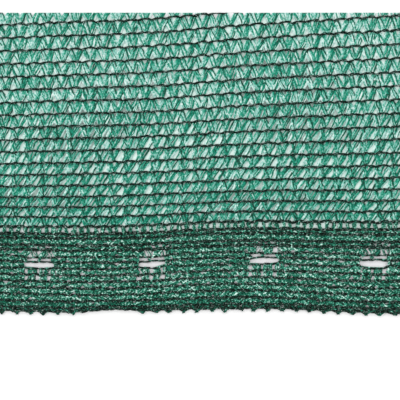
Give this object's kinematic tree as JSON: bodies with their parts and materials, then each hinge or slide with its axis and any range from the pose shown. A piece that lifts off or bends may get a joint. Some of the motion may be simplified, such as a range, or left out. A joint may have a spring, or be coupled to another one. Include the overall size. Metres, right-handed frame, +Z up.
{
  "type": "shade cloth",
  "caption": "Cut length of open green knitted shade netting, dark chain stitches laced with flat tape, with a closer edge band of knitted buttonholes, lying nearly flat.",
  "frame": {"origin": "on the surface below, at the middle of the cloth's outline", "axes": "+X along the chain stitches and the finished edge, +Y from the finished edge towards the straight cut, +Z up off the surface"},
  "size_m": [0.288, 0.1932, 0.004],
  "materials": {
    "laced_tape": "glossy streaky green tape",
    "band_knit": "close dark green tape knit",
    "chain_yarn": "near-black monofilament chain stitch"
  },
  "bodies": {
    "root": {"knitted_field": "laced_tape", "edge_band": "band_knit"}
  },
  "joints": []
}
